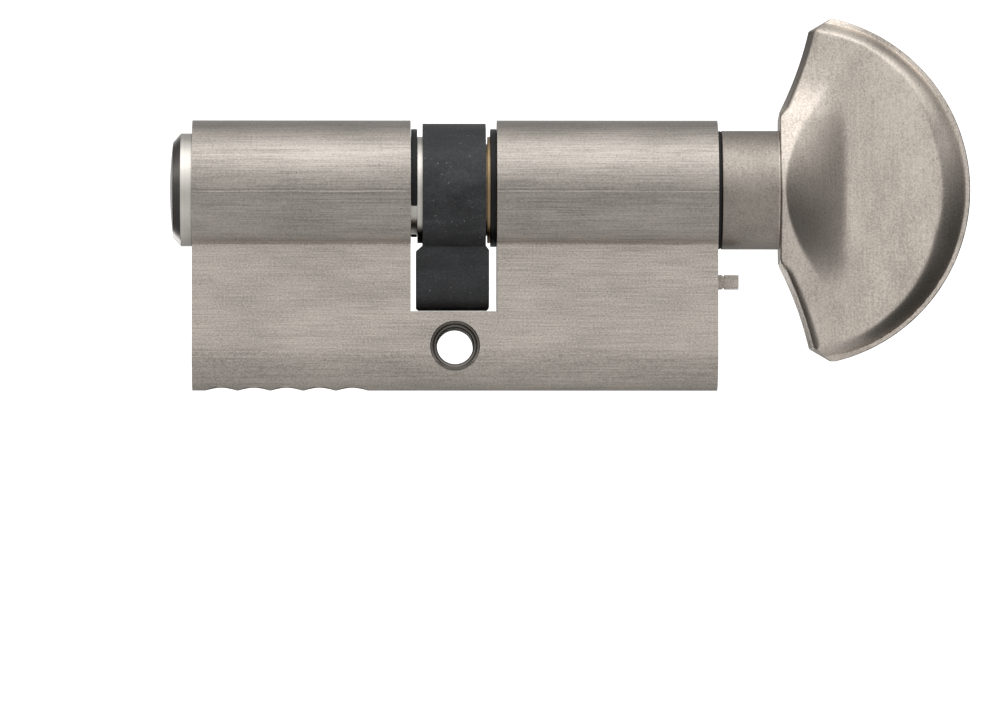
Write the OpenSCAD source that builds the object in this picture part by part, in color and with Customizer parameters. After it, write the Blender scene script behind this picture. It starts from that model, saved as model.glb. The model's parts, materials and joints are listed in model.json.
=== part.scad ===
// Euro profile cylinder with a keyed side and a half-moon thumbturn.
// +X runs along the plug axis from the key side to the thumbturn, +Z is up, and the
// origin is the centre of the fixing screw's hole, where such a cylinder is measured from.

/* [Housing] */
// Housing length on the key side, from the fixing screw's centre
key_side_len = 32; // [30:0.5:60]
// Housing length on the thumbturn side, from the fixing screw's centre
turn_side_len = 32; // [22:0.5:60]
// Diameter of the profile's round head
head_d = 17; // [16.8:0.1:17.4]
// Width of the profile's web
web_w = 10; // [9.6:0.1:10.4]
// Height of the whole profile
profile_h = 33; // [32.8:0.1:33.4]
// Height of the plug axis above the fixing screw's axis
axis_z = 19.2; // [19:0.1:19.4]
// Radius of the tapped fixing hole, inside its thread
screw_hole_r = 2.2; // [2.1:0.05:2.3]
// Width of the countersink round the fixing hole
screw_sink_r = 3.05; // [2.8:0.05:3.2]
// Slot from its centre to its key-side wall
slot_key = 5.4; // [5.3:0.1:5.6]
// Slot from its centre to its thumbturn-side wall
slot_turn = 5.1; // [5.1:0.1:5.6]
// Depth of the cam's slot below the plug axis
slot_depth = 15; // [15:0.1:15.6]

/* [Plugs] */
// Radius of both plugs
plug_r = 6.5; // [6.4:0.05:6.5]
// Radius of the key plug's head
flange_r = 6.9; // [6.8:0.05:7.2]
// How far the key plug's head stands out of the housing
flange_out = 2.75; // [2:0.05:3.5]
// Running clearance round the plugs and in the chambers
clear = 0.05; // [0.03:0.01:0.08]

/* [Pin stacks] */
// Distance between pin stacks
pin_pitch = 4; // [3.9:0.05:4]
// First pin stack, from the housing's key-side face
first_pin = 3.5; // [3.3:0.1:4]
// Radius of the key pins and drivers
pin_r = 1.45; // [1.4:0.05:1.45]
// Lengths of the key pins, which match the cuts of the right key
pin_len = [4.6, 5.8, 4.9, 6.1, 5.2]; // [4:0.1:6.2]
// Length of the driver pins
driver_len = 5; // [4:0.1:5.5]
// Radius of the caps that close the chambers
cap_r = 1.95; // [1.8:0.05:1.95]

/* [Cam] */
// Radius of the cam's ring
cam_r = 8.1; // [7.9:0.1:8.3]
// Width of the cam's ring
cam_w = 7.7; // [7.5:0.1:7.7]
// Reach of the cam's tongue from the plug axis
cam_reach = 14.75; // [14.4:0.05:14.8]
// Width of the tongue along the plug axis
tongue_w = 8.9; // [8.6:0.1:9]
// Thickness of the tongue across the plug axis
tongue_t = 7.8; // [7:0.1:8]

/* [Thumbturn] */
// Radius of the neck
neck_r = 7.25; // [7.2:0.05:7.4]
// Distance from the housing to the back of the knob
knob_gap = 7.55; // [7.5:0.05:8]
// Reach of the knob from its back to its rim
knob_reach = 23.35; // [22:0.05:26]
// Half the knob's height, tip to plug axis
knob_tip = 20.9; // [20.4:0.1:21.4]
// Half the thickness of the knob's blade
blade_t = 3.2; // [2.8:0.1:3.6]
// Half the thickness of the knob's hub
hub_t = 7.35; // [7.35:0.05:7.6]

/* [Hidden] */
$fn = 64;
cut = 0.5;                      // how far a cutting tool runs past a face
bore_r = plug_r + clear;
top_z = axis_z + head_d / 2;
floor_z = top_z - profile_h;

// Ends of the plugs, either side of the cam
land_x = cam_w / 2 + 0.1;       // inner face of each plug's retaining land
spigot_x = 1.4;                 // end of the spigot that carries the cam
spigot_r = 5.6;
groove_r = 5.4;                 // floor of the groove for the retaining clip
clip_t = 0.75;
clip_r = 7.2;
clip_up = 0.25;                 // the clips are stamped thicker at the top

// Clutch: two dogs that share the cam's four inner slots
clutch_shift = 2.4;             // how far the key's tip pushes the dogs
spline_x = 1.2;                 // half the width of the cam's slotted web
dog_r = 3;
dog_wing_r = 4.6;
dog_wing_w = 2.4;
dog_wing_len = 3.4;
wing_seat_x = dog_wing_len + clutch_shift - spline_x + 0.35;
key_dog_end = 6.6;              // outer end of the key-side dog
turn_dog_end = 6;
spring_seat_x = 14;             // bottom of the bore that holds the clutch spring
cam_shift = -0.1;               // the ring sits a little towards the key side
tongue_shift = -0.3;            // and the tongue a little further

// Pin chambers
pins = len(pin_len);
chamber_r = pin_r + clear;
pin_base_r = plug_r - 0.05;     // the key pins' domed ends lie on this sphere
pin_ceiling = 0.8;              // top of the plug's pin holes, above the plug axis
driver_top = bore_r + 0.07;     // depth of a driver's top below the plug axis
cap_t = 1.5;
cap_sunk = 0.45;                // how far the caps sit inside the web
spring_wire_r = 0.18;
spring_turns = 9;
clutch_wire_r = 0.25;

// Thumbturn
washer_t = 0.32;
neck_x0 = turn_side_len + 0.4;
knob_x = turn_side_len + knob_gap;
neck_x1 = knob_x - 0.05;
shank_r = 4.48;
shank_end = knob_x + 2.8;
spigot_in_neck = 1.9;           // how far the knob's spigot enters the neck
grub_x = neck_x0 + 2.8;
grub_r = 1.97;
shank_flat = 3.6;               // flat on the shank that the grub screw bites
hex_af = 2;                     // hex key that fits the grub screw

// Knob outline, measured from the knob's back and the plug axis
rim_r = 21.5;                   // radius of the rim
rim_c = knob_reach - rim_r;     // centre of that radius
hub_z = 9.4;                    // half the height of the hub's flat back
corner_z = knob_tip - 1.5;      // back corner of each tip
wall_draft = 0.45;              // the cast walls lean in from the parting line by this much
wall_slope = 4.4;
rim_band = 3.2;                 // width of the bevelled band along the rim
rim_drop = 2.2;                 // and how far it falls
back_round = [0.25, 0.7];       // rounding of the back edges, at the hub and at the tips
tip_round = 1.6;
scoop_start0 = 0.9;             // near end of the scoop at the plug axis
scoop_curve = 0.035;            // its near edge bends away from the back by this per mm squared
scoop_end = 8.4;                // far end of the scoop that thins the hub into the blade
scoop_soft = 0.2;               // share of the scoop that blends into the blade
hollow_slope = 0.5;             // the back's hollow starts at this slope
hollow_curve = 0.0137;          // and straightens by this per mm squared
tip_slope = 1.71;               // slope of the bevel at each tip's back corner
hub_top = 11;                   // height at which the hub has faded into the blade
knob_rows = 36;
knob_cols = 18;

function pin_x(i) = -key_side_len + first_pin + i * pin_pitch;

// ---------- shared shapes ----------

// Bar of radius r on the plug axis, from x0 to x1, which may taper to r1
module bar(x0, x1, r, r1 = -1) {
    translate([x0, 0, axis_z]) rotate([0, 90, 0])
        cylinder(h = x1 - x0, r1 = r, r2 = r1 < 0 ? r : r1);
}

// Open coil on +Z from z = 0, with its ends closed by polygons
module coil(mean_r, wire_r, height, turns, steps = 12, sides = 5) {
    n = turns * steps;
    rise = height - 2 * wire_r;
    function wire_point(k, j) =
        let (a = 360 * k / steps, b = 360 * j / sides, r = mean_r + wire_r * cos(b))
        [r * cos(a), r * sin(a), wire_r + rise * k / n + wire_r * sin(b)];
    points = [for (k = [0:n], j = [0:sides - 1]) wire_point(k, j)];
    skin = [for (k = [0:n - 1], j = [0:sides - 1])
        let (a = k * sides + j, b = k * sides + (j + 1) % sides)
        each [[a, b, b + sides], [a, b + sides, a + sides]]];
    start = [for (j = [sides - 1:-1:0]) j];
    end = [for (j = [0:sides - 1]) n * sides + j];
    polyhedron(points, concat(skin, [start, end]), convexity = 10);
}

// Retaining clip between x0 and x1, with its mouth towards angle a in the YZ plane
module clip(x0, x1, a) {
    mouth = 54;                 // half the mouth's angle
    difference() {
        translate([0, 0, clip_up]) bar(x0, x1, clip_r);
        bar(x0 - cut, x1 + cut, groove_r + 0.05);
        translate([x0 - cut, 0, axis_z]) rotate([90, 0, 90])
            linear_extrude(x1 - x0 + 2 * cut)
                polygon([[0, 0],
                         [20 * cos(a - mouth), 20 * sin(a - mouth)],
                         [20 * cos(a), 20 * sin(a)],
                         [20 * cos(a + mouth), 20 * sin(a + mouth)]]);
    }
}

// Bore and cross slot for a clutch dog, drawn on the +X side
module dog_seat(depth) {
    bar(spigot_x - cut, depth, dog_r + 0.15);
    intersection() {
        bar(spigot_x - cut, wing_seat_x, dog_wing_r + 0.15);
        translate([0, -10, axis_z - dog_wing_w / 2 - clear])
            cube([10, 20, dog_wing_w + 2 * clear]);
    }
}

// Clutch dog: a hub from h0 to h1 and two wings from w0
module dog(h0, h1, w0) {
    bar(h0, h1, dog_r);
    intersection() {
        bar(w0, w0 + dog_wing_len, dog_wing_r);
        translate([w0, -10, axis_z - dog_wing_w / 2])
            cube([dog_wing_len, 20, dog_wing_w]);
    }
}

// ---------- housing ----------

module profile() {
    web_r = web_w / 2;
    translate([0, axis_z]) circle(head_d / 2);
    translate([-web_r, floor_z + web_r]) square([web_w, axis_z - floor_z - web_r]);
    translate([0, floor_z + web_r]) circle(web_r);
}

module fixing_hole() {
    sink = screw_sink_r - screw_hole_r;
    rotate([90, 0, 0]) cylinder(h = web_w + 2, r = screw_hole_r, center = true);
    for (side = [0, 180]) rotate([0, 0, side]) translate([0, -web_w / 2, 0])
        rotate([-90, 0, 0]) translate([0, 0, -0.01])
            cylinder(h = sink, r1 = screw_sink_r, r2 = screw_hole_r);
}

module chamber(x) {
    translate([x, 0, floor_z + cap_sunk]) cylinder(h = axis_z - floor_z - 4, r = chamber_r);
    translate([x, 0, floor_z - cut]) cylinder(h = cap_sunk + cap_t + cut, r = cap_r);
}

module housing() color("#b3aba2") difference() {
    translate([-key_side_len, 0, 0]) rotate([90, 0, 90])
        linear_extrude(key_side_len + turn_side_len) profile();
    bar(-key_side_len - cut, turn_side_len + cut, bore_r);
    translate([-slot_key, -head_d, axis_z - slot_depth])
        cube([slot_key + slot_turn, 2 * head_d, slot_depth + head_d]);
    fixing_hole();
    for (i = [0:pins - 1]) chamber(pin_x(i));
    peg_shank(0.02);
}

module chamber_caps() color("#b8a98c") for (i = [0:pins - 1])
    translate([pin_x(i), 0, floor_z + cap_sunk]) cylinder(h = cap_t, r = cap_r - 0.01);

// Peg that stands out of the thumbturn-side face
peg_z = axis_z - 11.25;
peg_w = 1.72;
peg_out = 2.6;
peg_groove = [0.55, 0.85];      // shallow groove round it, from the housing's face

module peg_shank(gap) {
    translate([turn_side_len - 5, 0, peg_z]) rotate([0, 90, 0])
        cylinder(h = 5.65, r = peg_w / 2 + gap);
}

// Square bar that stands out of the face, from out0 to out1
module peg_block(out0, out1, w = peg_w) {
    translate([turn_side_len + out0, -w / 2, peg_z - w / 2]) cube([out1 - out0, w, w]);
}

module locating_peg() color("#b9b1a8") {
    peg_shank(0);
    peg_block(0.01, peg_groove[0]);
    peg_block(peg_groove[0], peg_groove[1], peg_w - 0.3);
    peg_block(peg_groove[1], peg_out);
}

// ---------- key side ----------

module keyway() {
    w = 1;                      // half the keyway's width
    s = 0.3;                    // half the width left beside a ward
    polygon([[-w, 3.9], [w, 3.9], [w, 2.4], [s, 2], [s, 0.7], [w, 0.3],
             [w, -4.9], [-w, -4.9], [-w, -2.9], [-s, -2.5], [-s, -1.2], [-w, -0.8]]);
}

module plug_body() {
    bar(spigot_x, land_x + 0.01, spigot_r);
    bar(land_x, slot_key + 1, plug_r);
}

// Bevelled head with a slightly domed face
module plug_head() {
    bevel_x = -key_side_len - 1.4;
    dome_r = 44;
    bar(bevel_x, -key_side_len - 0.1, flange_r);
    intersection() {
        bar(-key_side_len - flange_out, bevel_x, flange_r - 1.55, flange_r);
        translate([-key_side_len - flange_out + dome_r, 0, axis_z]) sphere(dome_r);
    }
}

module key_plug() color("#c4bdb4") difference() {
    union() {
        mirror([1, 0, 0]) plug_body();
        bar(-key_side_len - 0.2, -slot_key, plug_r);
        plug_head();
    }
    clip_groove(-slot_key + 0.03, -slot_key + 0.07 + clip_t);
    mirror([1, 0, 0]) dog_seat(key_dog_end + 0.1);
    translate([-key_side_len - flange_out - cut, 0, axis_z]) rotate([90, 0, 90])
        linear_extrude(key_side_len + flange_out + cut - key_dog_end) keyway();
    for (i = [0:pins - 1]) translate([pin_x(i), 0, axis_z - plug_r - cut])
        cylinder(h = plug_r + cut + pin_ceiling, r = chamber_r);
}

module clip_groove(x0, x1) difference() {
    bar(x0, x1, plug_r + 1);
    bar(x0 - cut, x1 + cut, groove_r);
}

module key_plug_clip() color("#2b2b2c") clip(-slot_key + 0.05, -slot_key + 0.05 + clip_t, -107);

module key_clutch() color("#9a9690")
    dog(-key_dog_end, -spline_x - 0.05, -spigot_x - dog_wing_len);

// ---------- pin stacks ----------

module key_pin(i) color("#c9a35a") {
    tip = 0.9;
    top = axis_z - pin_base_r + pin_len[i];
    translate([pin_x(i), 0, top - tip]) cylinder(h = tip, r1 = pin_r, r2 = 0.5);
    intersection() {
        translate([pin_x(i), 0, axis_z]) sphere(pin_base_r);
        translate([pin_x(i), 0, axis_z - plug_r - cut])
            cylinder(h = top - tip - (axis_z - plug_r - cut), r = pin_r);
    }
}

// The second and fourth drivers are spools
module driver_pin(i) color("#b9b4ab") {
    lip = 0.2;
    base = axis_z - driver_top - driver_len;
    translate([pin_x(i), 0, base]) difference() {
        union() {
            cylinder(h = lip, r1 = pin_r - lip, r2 = pin_r);
            translate([0, 0, lip]) cylinder(h = driver_len - 2 * lip, r = pin_r);
            translate([0, 0, driver_len - lip]) cylinder(h = lip, r1 = pin_r, r2 = pin_r - lip);
        }
        if (i % 2 == 1) translate([0, 0, 1.3]) difference() {
            cylinder(h = driver_len - 2.3, r = pin_r + 1);
            translate([0, 0, -cut]) cylinder(h = driver_len, r = pin_r - 0.4);
        }
    }
}

module pin_spring(i) color("#a8a49c") {
    foot = floor_z + cap_sunk + cap_t + 0.02;
    head = axis_z - driver_top - driver_len - 0.02;
    translate([pin_x(i), 0, foot])
        coil(pin_r - 0.25, spring_wire_r, head - foot, spring_turns);
}

// ---------- cam ----------

module tongue_end() {
    // Section across the plug axis: an arc of the cam's reach with rounded corners
    corner = 2.2;
    half = tongue_t / 2;
    corner_a = asin((half - corner) / (cam_reach - corner));
    corner_c = [(cam_reach - corner) * sin(corner_a), -(cam_reach - corner) * cos(corner_a)];
    right = concat(
        [[half, -5]],
        [for (a = [0:10:90 - corner_a]) corner_c + corner * [cos(a), -sin(a)]],
        [for (a = [corner_a:-2:0]) cam_reach * [sin(a), -cos(a)]]);
    left = [for (k = [len(right) - 1:-1:0]) [-right[k][0], right[k][1]]];
    polygon(concat(right, left));
}

module tongue_front() {
    // Seen from the side: as wide as the ring at first, then shoulders and eased corners
    left = tongue_shift - cam_shift - tongue_w / 2;
    right = left + tongue_w;
    ring = cam_w / 2;
    ease = 0.35;
    polygon([[-ring, -5], [-ring, -6.95], [left, -7.65], [left, ease - cam_reach],
             [left + ease, -cam_reach - 0.05], [right - ease, -cam_reach - 0.05],
             [right, ease - cam_reach], [right, -7.5], [ring, -6.95], [ring, -5]]);
}

module cam() color("#2c2c2d") translate([cam_shift, 0, 0]) difference() {
    union() {
        bar(-cam_w / 2, cam_w / 2, cam_r);
        intersection() {
            translate([-10, 0, axis_z]) rotate([90, 0, 90]) linear_extrude(20) tongue_end();
            translate([0, 10, axis_z]) rotate([90, 0, 0]) linear_extrude(20) tongue_front();
        }
    }
    for (side = [0, 1]) mirror([side, 0, 0]) bar(spline_x, 10, spigot_r + clear);
    bar(-10, 10, dog_r + 0.3);
    intersection() {
        bar(-10, 10, dog_wing_r + 0.2);
        translate([0, 0, axis_z]) for (turn = [0, 90]) rotate([turn, 0, 0])
            cube([20, 20, dog_wing_w + 0.2], center = true);
    }
}

// ---------- thumbturn side ----------

module turn_clutch() color("#9a9690") dog(-spline_x, turn_dog_end, -spline_x + 0.1);

module clutch_spring() color("#a8a49c")
    translate([turn_dog_end + 0.02, 0, axis_z]) rotate([0, 90, 0])
        coil(dog_r - 0.6, clutch_wire_r, spring_seat_x - turn_dog_end - 0.04, 6, 16, 6);

module turn_spindle() color("#b8b1a8") difference() {
    union() {
        plug_body();
        bar(slot_turn, turn_side_len + 0.02, plug_r);
        bar(turn_side_len, shank_end, shank_r);
    }
    clip_groove(slot_turn - 0.07 - clip_t, slot_turn - 0.03);
    dog_seat(spring_seat_x);
    translate([grub_x - 2.4, shank_flat, axis_z - 5]) cube([4.8, 5, 10]);
}

module turn_clip() color("#2b2b2c") clip(slot_turn - 0.05 - clip_t, slot_turn - 0.05, -30);

module friction_washer() color("#1f1f20") difference() {
    bar(turn_side_len + 0.05, turn_side_len + 0.05 + washer_t, neck_r - 0.05);
    bar(turn_side_len - cut, turn_side_len + 1, shank_r + 0.03);
}

module neck_collar() color("#bdb6ad") difference() {
    union() {
        bar(neck_x0, neck_x0 + 0.15, neck_r - 0.15, neck_r);
        bar(neck_x0 + 0.15, neck_x1, neck_r);
    }
    bar(neck_x0 - cut, neck_x1 + cut, shank_r + 0.02);
    bar(neck_x1 - spigot_in_neck - 0.1, neck_x1 + cut, spigot_r);
    translate([grub_x, 0, axis_z]) rotate([-90, 0, 0]) cylinder(h = 10, r = grub_r + 0.03);
}

module grub_screw() color("#3a3a3c") translate([grub_x, shank_flat + 0.02, axis_z]) rotate([-90, 0, 0]) {
    len = 3.2;
    point = 0.4;
    cylinder(h = point, r1 = grub_r - 0.5, r2 = grub_r);
    translate([0, 0, point]) difference() {
        cylinder(h = len - point, r = grub_r);
        translate([0, 0, len - point - 1.4])
            cylinder(h = 2, r = hex_af / sqrt(3), $fn = 6);
    }
}

// ---------- knob ----------

// Rim of the knob at height z above or below the plug axis, from the knob's back
function rim_x(z) = rim_c + sqrt(rim_r * rim_r - z * z);

// Back edge of the knob: flat behind the hub, hollow up to the tips' corners, then bevelled
function hollow(d) = hollow_slope * d - hollow_curve * d * d;
function back_x(z) =
    let (a = abs(z))
    a < hub_z ? 0 : a < corner_z ? hollow(a - hub_z) :
        hollow(corner_z - hub_z) + tip_slope * (a - corner_z);

function smooth(t) = let (c = min(1, max(0, t))) c * c * (3 - 2 * c);
function bulge(t) = let (c = 1 - min(1, max(0, t))) sqrt(max(0, 1 - c * c));

// Edge of the scoop, which is ground across the hub: nearest the back at the plug axis
function scoop_start(a) = scoop_start0 + scoop_curve * a * a;

// Half the knob's thickness over the blade and hub, before its edges are rounded
function face_t(x, z) =
    let (a = min(abs(z), hub_top),
         rise = (hub_t - blade_t) * (0.5 + 0.5 * cos(180 * a / hub_top)),
         run = min(1, max(0, (scoop_end - x) / (scoop_end - scoop_start(a)))))
    blade_t + rise * run * run * (1 + scoop_soft) / (run + scoop_soft);

// The same near a back edge, d from it: a leaning wall and a rounded corner
function back_t(full, d, z) =
    let (away = smooth((abs(z) - hub_z + 0.6) / 1.2),
         lean = wall_draft * away,
         r = back_round[0] + (back_round[1] - back_round[0]) * away)
    d < lean ? (full - r) * (0.1 + 0.9 * d / lean) : full - r + r * bulge((d - lean) / r);

// The same near the rim: a wall that leans in and a band that falls ever faster towards it
function rim_t(full, d) =
    let (u = min(1, max(0, 1 - (d - wall_draft) / rim_band)))
    min(full - rim_drop * (0.6 * u + 0.4 * u * u), wall_slope * d);

// Half the knob's thickness at distance x from its back
function knob_t(x, z) =
    let (full = face_t(x, z),
         back = back_t(full, x - back_x(z), z),
         rim = rim_t(full, rim_r - norm([x - rim_c, z])))
    min(back, rim) * (0.25 + 0.75 * bulge((knob_tip - abs(z)) / tip_round));

// Heights of the rows, closer together near the tips
function row_z(k) = knob_tip * sin(90 * (2 * k / knob_rows - 1));

// Columns across a row, closer together near both edges
function col_x(z, j) =
    back_x(z) + (rim_x(z) - back_x(z)) * (0.5 - 0.5 * cos(180 * j / knob_cols));

// One closed ring round the knob: out along its near face and back along its far face
function knob_ring(z) = concat(
    [for (j = [0:knob_cols]) let (x = col_x(z, j)) [x, -knob_t(x, z), z]],
    [for (j = [knob_cols - 1:-1:0]) let (x = col_x(z, j)) [x, knob_t(x, z), z]]);

module knob_skin() {
    rings = [for (k = [0:knob_rows]) knob_ring(row_z(k))];
    n = len(rings[0]);
    points = [for (r = rings, p = r) p];
    skin = [for (k = [0:knob_rows - 1], j = [0:n - 1])
        let (a = k * n + j, b = k * n + (j + 1) % n)
        each [[a, b + n, b], [a, a + n, b + n]]];
    foot = [for (j = [0:n - 1]) j];
    top = [for (j = [n - 1:-1:0]) knob_rows * n + j];
    polyhedron(points, concat(skin, [foot, top]), convexity = 4);
}

module knob() color("#b5ada4") difference() {
    union() {
        translate([knob_x, 0, axis_z]) knob_skin();
        bar(knob_x - spigot_in_neck, knob_x + 1, spigot_r - 0.02);
    }
    bar(knob_x - 5, shank_end + 0.1, shank_r + 0.02);
}

// ---------- nodes ----------

housing();
chamber_caps();
locating_peg();
key_plug();
key_plug_clip();
key_clutch();
for (i = [0:pins - 1]) {
    key_pin(i);
    driver_pin(i);
    pin_spring(i);
}
cam();
turn_clutch();
clutch_spring();
turn_spindle();
turn_clip();
friction_washer();
neck_collar();
grub_screw();
knob();
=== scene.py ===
"""Looks of a euro profile cylinder with a half-moon thumbturn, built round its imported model."""
import json
import math

import bmesh
import bpy
from bpy.props import FloatProperty, IntProperty, PointerProperty, StringProperty
from bpy.types import Operator, Panel, PropertyGroup
from mathutils import Euler, Matrix, Vector


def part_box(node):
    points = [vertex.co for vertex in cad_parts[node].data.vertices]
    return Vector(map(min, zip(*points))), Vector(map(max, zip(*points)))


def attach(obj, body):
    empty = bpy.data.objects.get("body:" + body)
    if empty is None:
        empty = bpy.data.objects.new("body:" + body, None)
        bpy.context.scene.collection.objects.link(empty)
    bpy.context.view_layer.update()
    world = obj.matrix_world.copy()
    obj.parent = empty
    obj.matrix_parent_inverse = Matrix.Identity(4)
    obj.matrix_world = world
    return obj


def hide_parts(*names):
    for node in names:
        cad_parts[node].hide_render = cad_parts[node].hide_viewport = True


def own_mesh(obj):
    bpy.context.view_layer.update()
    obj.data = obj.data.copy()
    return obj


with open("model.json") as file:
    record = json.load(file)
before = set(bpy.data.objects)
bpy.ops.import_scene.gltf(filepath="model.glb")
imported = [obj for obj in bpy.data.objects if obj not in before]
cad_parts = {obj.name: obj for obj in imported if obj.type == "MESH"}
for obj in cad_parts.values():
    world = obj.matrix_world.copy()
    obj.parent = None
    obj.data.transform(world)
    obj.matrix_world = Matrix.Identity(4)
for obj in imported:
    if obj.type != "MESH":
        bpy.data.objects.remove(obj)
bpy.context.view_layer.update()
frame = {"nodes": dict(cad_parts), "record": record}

bl_info = {
    "name": "Euro profile cylinder",
    "version": (1, 0, 0),
    "blender": (4, 5, 0),
    "location": "3D View > Sidebar > Cylinder",
    "description": "Finishes a lock cylinder with a key side and a half-moon thumbturn",
    "category": "Object",
}

MM = 0.001
PINS = 5
SAME_POINT = 1e-7                         # points nearer than this are one point

HEAD_END = -6.5 * MM                      # from the plug axis, where the round head's finish ends
WEB_TOP = -6.8 * MM                       # and where the web's begins
SEAM_BAND = (-1.6 * MM, 0.4 * MM)         # from the plug axis, where the head's two passes meet
SEAM_WANDER = 0.5 * MM
HOLE_SHADE_TO = 2.98 * MM                     # from the fixing hole's axis, painted shade inside the hole up to here
HOLE_PLATED = 3.04 * MM                   # and plate from here on
THREAD_STEP = 0.4 * MM                    # from one groove of the hole's relief to the next
NECK_BLUR = 0.3 * MM                      # over which the neck's painted shade turns into the knob's tone


# ---------- places taken from the frame ----------

def middle(node):
    low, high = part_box(node)
    return (low + high) / 2


AXIS_Z = middle("neck_collar").z          # height of the plug axis
KNOB_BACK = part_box("neck_collar")[1].x + 0.05 * MM
KNOB_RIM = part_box("knob")[1].x
KNOB_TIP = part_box("knob")[1].z - AXIS_Z
FLOOR_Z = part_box("housing")[0].z


# ---------- settings ----------

def length(name, description, default, low=0.0):
    """A length in the scene's own metres, shown in its units."""
    return FloatProperty(name=name, description=description, default=default, min=low,
                         subtype="DISTANCE", unit="LENGTH", precision=5)


def finish(name, description, default):
    """An sRGB colour, written as six hex digits."""
    return StringProperty(name=name, description=description, default=default, maxlen=6)


class CYL_PG_edges(PropertyGroup):
    """How far each piece's sharp edges are broken."""
    housing: length("Housing", "Broken edge of the housing", 0.12 * MM)
    plug: length("Key plug", "Broken edge of the key plug and its keyway", 0.10 * MM)
    cam: length("Cam", "Rounded edge of the sintered cam", 0.22 * MM)
    clip: length("Clips", "Rounded edge of the stamped clips", 0.10 * MM)
    collar: length("Neck", "Broken edge of the neck collar", 0.20 * MM)
    peg: length("Peg", "Rounded corners of the locating peg", 0.22 * MM)
    cap: length("Chamber caps", "Rounded edge of the chamber caps", 0.18 * MM)
    clutch: length("Clutch dogs", "Broken edge of the clutch dogs", 0.12 * MM)
    screw: length("Grub screw", "Broken edge of the grub screw", 0.08 * MM)


class CYL_PG_knob(PropertyGroup):
    """Shape of the cast half-moon knob."""
    rim_radius: length("Rim radius", "Radius of the half-moon's rim", 21.5 * MM)
    blade: length("Blade", "Half the thickness of the blade", 3.2 * MM)
    hub: length("Hub", "Half the thickness of the hub behind the scoop", 7.35 * MM)
    hub_flat: length("Hub back", "Half the height of the hub's flat back", 9.4 * MM)
    hub_top: length("Hub top", "Height at which the hub has faded into the blade", 13.5 * MM)
    hub_corner: length("Hub corner", "Rounding of the hub's back edges", 0.25 * MM)
    blade_corner: length("Blade corner", "Rounding of the blade's back edges", 1.0 * MM)
    scoop_start: length("Scoop start", "Near end of the scoop at the plug axis", 0.65 * MM)
    scoop_end: length("Scoop end", "Far end of the scoop that thins the hub into the blade", 8.4 * MM)
    scoop_soft: FloatProperty(name="Scoop blend", description="Share of the scoop that blends into the blade",
                              default=0.2, min=0.0, max=1.0)
    draft: length("Draft", "How far the cast walls lean in from the parting line", 0.45 * MM)
    rim_band: length("Rim band", "Width of the rolled band along the rim", 3.2 * MM)
    rim_narrow: FloatProperty(name="Rim narrowing", description="How much that band narrows at the tips",
                              default=0.48, min=0.0, max=0.8)
    rim_drop: length("Rim drop", "How far that band falls", 2.5 * MM)
    land: length("Parting land", "Half the width of the flat along the parting line", 0.6 * MM)
    tip_bevel: length("Tip bevel", "Height of the bevel that cuts each tip", 1.5 * MM)
    tip_round: length("Tip rounding", "Width of the rounding along the tips", 1.6 * MM)
    taper: FloatProperty(name="Taper", description="Slope at which the blade thins toward its tips",
                         default=0.07, min=0.0, max=0.2)
    taper_from: length("Taper start", "Height at which that slope starts", 9 * MM)
    dish: length("Dish", "Depth of the dish in each face", 0.12 * MM)
    across: IntProperty(name="Across", description="Faces from back to rim", default=88, min=16)
    along: IntProperty(name="Along", description="Faces from tip to tip", default=152, min=24)


class CYL_PG_finish(PropertyGroup):
    """Colours of the finishes."""
    nickel: finish("Brushed nickel", "Satin nickel on the housing", "D0C8BF")
    turned: finish("Turned nickel", "Nickel on the turned key plug", "D8D3CC")
    cast: finish("Cast nickel", "Satin nickel on the knob and its neck", "D9CFC4")
    black: finish("Blackened steel", "Steam-blackened sintered cam", "2F3032")
    chip: finish("Chipped oxide", "Pale specks where the cam's oxide has chipped", "A09C94")
    clip: finish("Spring steel", "Phosphated clips", "1C1C1D")
    brass: finish("Brass", "Turned brass pins and caps", "C79F55")
    silver: finish("Nickel silver", "Turned thumbturn spindle", "A58F6E")
    steel: finish("Steel", "Turned steel drivers and clutch dogs", "A9A7A3")
    wire: finish("Spring wire", "Drawn stainless wire", "B4B0A8")
    nylon: finish("Nylon", "Black friction washer", "151516")
    screw: finish("Black oxide", "Grub screw", "242528")


class CYL_PG_stage(PropertyGroup):
    """Camera, light and floor."""
    distance: length("Camera distance", "From the camera to the plug axis", 1.3)
    view_width: length("View width", "Width that the picture shows at the plug axis", 120.73 * MM)
    camera_up: FloatProperty(name="Camera up", description="How far the camera looks up from below",
                             default=math.radians(2.2), subtype="ANGLE", unit="ROTATION")
    camera_round: FloatProperty(name="Camera round", description="How far the camera stands to the left",
                                default=math.radians(-0.6), subtype="ANGLE", unit="ROTATION")
    aim_x: length("Aim across", "Middle of the picture, from the origin", 4.9 * MM, -1.0)
    aim_down: length("Aim down", "Middle of the picture, below the plug axis", 20.5 * MM, -1.0)
    floor: finish("Floor", "Pale floor", "F4F3F1")
    floor_drop: length("Floor drop", "From the housing down to the floor, below the camera", 0.08)
    sky: FloatProperty(name="Sky", description="Strength of the studio's light", default=1.34, min=0.0)
    softbox: FloatProperty(name="Softbox", description="Power of the softbox overhead", default=0.55,
                           min=0.0, subtype="POWER", unit="POWER")


class CYL_PG_springs(PropertyGroup):
    """Wire and turns of the springs."""
    driver_coil: length("Driver spring coil", "Radius of a driver spring, to the wire's middle", 1.2 * MM)
    driver_wire: length("Driver spring wire", "Radius of a driver spring's wire", 0.18 * MM)
    driver_turns: IntProperty(name="Driver spring turns", description="Turns of a driver spring",
                              default=9, min=3)
    clutch_coil: length("Clutch spring coil", "Radius of the clutch spring, to the wire's middle", 2.4 * MM)
    clutch_wire: length("Clutch spring wire", "Radius of the clutch spring's wire", 0.25 * MM)
    clutch_turns: IntProperty(name="Clutch spring turns", description="Turns of the clutch spring",
                              default=6, min=3)


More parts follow.
